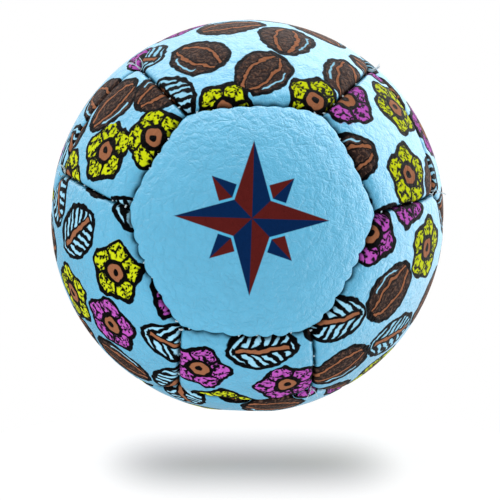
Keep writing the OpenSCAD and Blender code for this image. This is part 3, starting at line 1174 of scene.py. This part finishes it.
# Bag, tie and granules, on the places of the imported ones

BAG_R = -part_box("inner_bag")[0].y
TIE_LOW, TIE_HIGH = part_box("bag_tie")
TIE_D = TIE_HIGH.y - TIE_LOW.y
TIE_RING_R = (TIE_HIGH.x - TIE_LOW.x - TIE_D) / 2
TIE_PLACE = (TIE_HIGH.y + TIE_LOW.y) / 2
NECK_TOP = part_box("inner_bag")[1].y
NECK_FLOOR = 2 * TIE_PLACE - NECK_TOP
NECK_R = 2.3 * MM
NECK_DIMPLE = 0.4 * MM
WAIST_WIDTH = 0.5 * MM
HOLLOW_R = 3.5 * MM
CLOTH_T = 0.35 * MM
BAG_STEPS, BAG_AROUND = 140, 200
HEAP_STEPS, HEAP_AROUND = 80, 120
GRANULE_R = 1.15 * MM
GRANULE_ROOM = 0.15 * MM
GRANULE_LEAST = 0.75
GRANULES_MOST = 1e6
BAG_SIZES = {
    "Ball centre": CENTRE,
    "Seam room": 3.0 * MM,
    "Seam room width": 3.2 * MM,
    "Crease size": 5.0 * MM,
    "Crease depth": 0.35 * MM,
    "Pleats": 17,
    "Pleat depth": 0.22 * MM,
}
FILL_SIZES = {
    "Ball centre": CENTRE,
    "Seam room": 3.5 * MM,
    "Seam room width": 4.0 * MM,
    "Granule radius": GRANULE_R,
    "Granule distance": 2.15 * MM,
    "Seed": SEED,
}


def seam_distances(directions):
    """Distance from each direction to the nearest seam of the panel that it lies in."""
    best = np.zeros(len(directions))
    for name, keys in PANEL_KEYS.items():
        to_seams = [SEAMS[pair].read(directions, name)[1] for pair in side_pairs(keys)]
        best = np.maximum(best, np.min(to_seams, axis=0))
    return best


def hollowed_round(radius, opening, floor, steps):
    """Profile of a ball with a hollow at the neck, as radii and places on the neck's axis."""
    turns = np.linspace(0, math.pi - math.asin(opening / radius), steps)
    ball = np.column_stack([radius * np.sin(turns), -radius * np.cos(turns)])
    wall = [(opening, place) for place in np.linspace(ball[-1, 1], floor, 6)[1:]]
    return np.vstack([ball, wall])


def neck_profile():
    places = np.linspace(NECK_FLOOR, NECK_TOP, 16)
    waist = NECK_R - TIE_RING_R + TIE_D / 2
    radii = NECK_R - waist * np.exp(-(((places - TIE_PLACE) / WAIST_WIDTH) ** 2))
    return np.column_stack([radii, places])


def turned(profile, around):
    """Points and faces of a closed form turned about the neck's axis, from pole to pole."""
    turns = np.linspace(0, 2 * math.pi, around, endpoint=False)
    x, z = np.cos(turns), np.sin(turns)
    rings = [np.column_stack([r * x, 0 * turns + y, r * z]) for r, y in profile[1:-1]]
    points = np.concatenate([[(0, profile[0][1], 0)], *rings, [(0, profile[-1][1], 0)]])
    last = len(points) - 1
    faces = ring_faces(1, len(rings) - 1, around) + [hub_faces(0, 1, around)]
    faces.append(hub_faces(last, last - around, around, backwards=True))
    return points, np.concatenate(faces)


def inner_form(inset, steps, around):
    """A closed form that lies an inset inside the bag, and as far round its hollow."""
    floor = NECK_FLOOR - inset
    profile = hollowed_round(BAG_R - inset, HOLLOW_R + inset, floor, steps)
    return turned(np.vstack([profile, (HOLLOW_R / 2, floor), (0, floor)]), around)


def round_mesh(name, *forms):
    """One mesh of closed forms about the ball's centre, with their seam distances."""
    starts = np.cumsum([0] + [len(points) for points, _ in forms])
    points = np.concatenate([points for points, _ in forms])
    faces = np.concatenate([faces + start for (_, faces), start in zip(forms, starts)])
    mesh = mesh_of(name, points + np.array(CENTRE), faces)
    note(mesh, seam_distance=seam_distances(unit(points)))
    return mesh


def drawn_in(tree, size):
    """The geometry, drawn back from the seams, and the way out from the ball's centre."""
    arm, out = from_centre(tree, size)
    distance = noted(tree, "seam_distance") / size["Seam room width"]
    depth = distance.power(4).fading(1.0) * size["Seam room"]
    return moved(tree, size["Geometry"], out, -depth), arm, out


def bag_tree():
    """Draws the bag in at the seams, creases it and pleats its gathered neck."""
    tree, size = node_tree("cloth bag", BAG_SIZES)
    geometry, arm, out = drawn_in(tree, size)
    by_crease = vector(tree, "SCALE", out, Number(tree, size["Crease size"]).power(-1) * BAG_R)
    crease = noise(tree, by_crease, 1.0, distortion=1.2)
    inwards = vector(tree, "SCALE", out, crease * size["Crease depth"] * -1)
    x, _, z = split(tree, arm)
    pleat = (z.math("ARCTAN2", x) * size["Pleats"] + crease * 5).sine() * size["Pleat depth"]
    sideways = vector(tree, "NORMALIZE", joined(tree, x, 0.0, z))
    pleat = vector(tree, "SCALE", sideways, pleat * noted(tree, "pleated"))
    return close_tree(tree, size, moved(tree, geometry, vector(tree, "ADD", inwards, pleat)))


def granule_tree():
    """Sets a granule, each turned and sized by chance, on even places all over the heap."""
    tree, size = node_tree("heap of granules", FILL_SIZES)
    heap, _, _ = drawn_in(tree, size)
    inputs = {"Mesh": heap, "Seed": size["Seed"]}
    inputs |= {"Distance Min": size["Granule distance"], "Density Max": GRANULES_MOST}
    spots = made(tree, "GeometryNodeDistributePointsOnFaces", inputs, distribute_method="POISSON")
    inputs = {"Radius": size["Granule radius"], "Subdivisions": 2}
    granule = made(tree, "GeometryNodeMeshIcoSphere", inputs)
    chances = []
    for least, most, seed in ((0, 2 * math.pi, 1), (GRANULE_LEAST, 1.0, 2)):
        inputs = {0: (least,) * 3, 1: (most,) * 3, 8: seed}
        chances.append(made(tree, "FunctionNodeRandomValue", inputs, data_type="FLOAT_VECTOR"))
    both = add(tree, "GeometryNodeJoinGeometry")
    for part in (heap, set_on(tree, spots, granule, *chances)):
        tree.links.new(part, both.inputs[0])
    return close_tree(tree, size, both.outputs[0])


def make_bag():
    """A closed cloth bag with an outer and an inner side, and a gathered neck in a hollow."""
    outside = hollowed_round(BAG_R, HOLLOW_R, NECK_FLOOR, BAG_STEPS)
    neck = neck_profile()
    tip = [(NECK_R / 2, NECK_TOP), (0, NECK_TOP - NECK_DIMPLE)]
    outer = turned(np.vstack([outside, neck, tip]), BAG_AROUND)
    points, faces = inner_form(CLOTH_T, BAG_STEPS, BAG_AROUND)
    mesh = round_mesh("inner_bag_cloth", outer, (points, faces[:, ::-1]))
    pleated = np.zeros(len(mesh.vertices))
    first = 1 + (len(outside) - 1) * BAG_AROUND
    pleated[first : first + (len(neck) + 1) * BAG_AROUND] = 1
    note(mesh, pleated=pleated)
    cloth = new_material("bag_cloth", lining_cloth)
    piece = grown("inner_bag_cloth", mesh, bag_tree(), BAG_SIZES, cloth)
    fitted(piece, "bag_cloth", "inner_bag")


def make_filling():
    """A closed heap a little inside the bag, with granules all over it."""
    form = inner_form(CLOTH_T + GRANULE_ROOM + GRANULE_R, HEAP_STEPS, HEAP_AROUND)
    husks = new_material("granules", packed_husks)
    piece = grown("granules", round_mesh("granules", form), granule_tree(), FILL_SIZES, husks)
    fitted(piece, "granules", "granule_filling")


# The tie: two plies twisted round the neck's waist, a knot and two ends
PLY_R = 0.2 * MM
PLY_TWISTS = 14
KNOT_SIZE = 0.26 * MM
KNOT_OUT = 1.6 * PLY_R
# Its ends: length, start beside the knot, bend in radians, and the lengths that they then lie aside
TIE_END = 1.1 * MM
TIE_END_START = 0.3 * MM
TIE_END_BEND, TIE_END_ALONG, TIE_END_OFF = 2.4, 0.5, 0.35


def tie_paths():
    """Paths of the cord's plies, knot and ends, each with whether it closes on itself."""
    turns = np.linspace(0, 2 * math.pi, 240, endpoint=False)
    paths = []
    for side in (0, math.pi):
        twist = PLY_TWISTS * turns + side
        radius = TIE_RING_R + PLY_R * np.cos(twist)
        ply = [radius * np.cos(turns), TIE_PLACE + PLY_R * np.sin(twist), radius * np.sin(turns)]
        paths.append((np.column_stack(ply), True))
    knot_place = np.array([0, TIE_PLACE, TIE_RING_R + KNOT_OUT])
    t = turns[::4]
    loops = [np.sin(t) + 2 * np.sin(2 * t), np.cos(t) - 2 * np.cos(2 * t), -1.6 * np.sin(3 * t)]
    paths.append((knot_place + KNOT_SIZE * np.column_stack(loops), True))
    share = np.linspace(0, 1, 12)
    bend = np.sin(share * TIE_END_BEND)
    for side in (-1, 1):
        run = side * (TIE_END_START + TIE_END * share)
        end = [run, TIE_END_ALONG * TIE_END * bend * side, TIE_END_OFF * TIE_END * bend]
        paths.append((knot_place + np.column_stack(end), False))
    return paths


def make_tie():
    curve = bpy.data.curves.new("bag_tie_cord", "CURVE")
    curve.dimensions = "3D"
    curve.bevel_depth, curve.bevel_resolution, curve.use_fill_caps = PLY_R, 2, True
    for path, closed in tie_paths():
        spline = curve.splines.new("POLY")
        spline.points.add(len(path) - 1)
        places = np.column_stack([path + np.array(CENTRE), np.ones(len(path))])
        spline.points.foreach_set("co", places.astype(np.float32).ravel())
        spline.use_cyclic_u = closed
    curve.materials.append(new_material("tie_cord", cotton_cord))
    route = new_object("bag_tie_route", curve)
    depsgraph = bpy.context.evaluated_depsgraph_get()
    mesh = bpy.data.meshes.new_from_object(route.evaluated_get(depsgraph))
    bpy.data.objects.remove(route)
    fitted(new_object("bag_tie_cord", mesh), "tie_cord", "bag_tie")


bpy.context.scene.view_settings.view_transform = "Standard"
make_camera()
make_world()
make_lights()
make_floor()
make_panels()
make_thread()
make_bag()
make_filling()
make_tie()
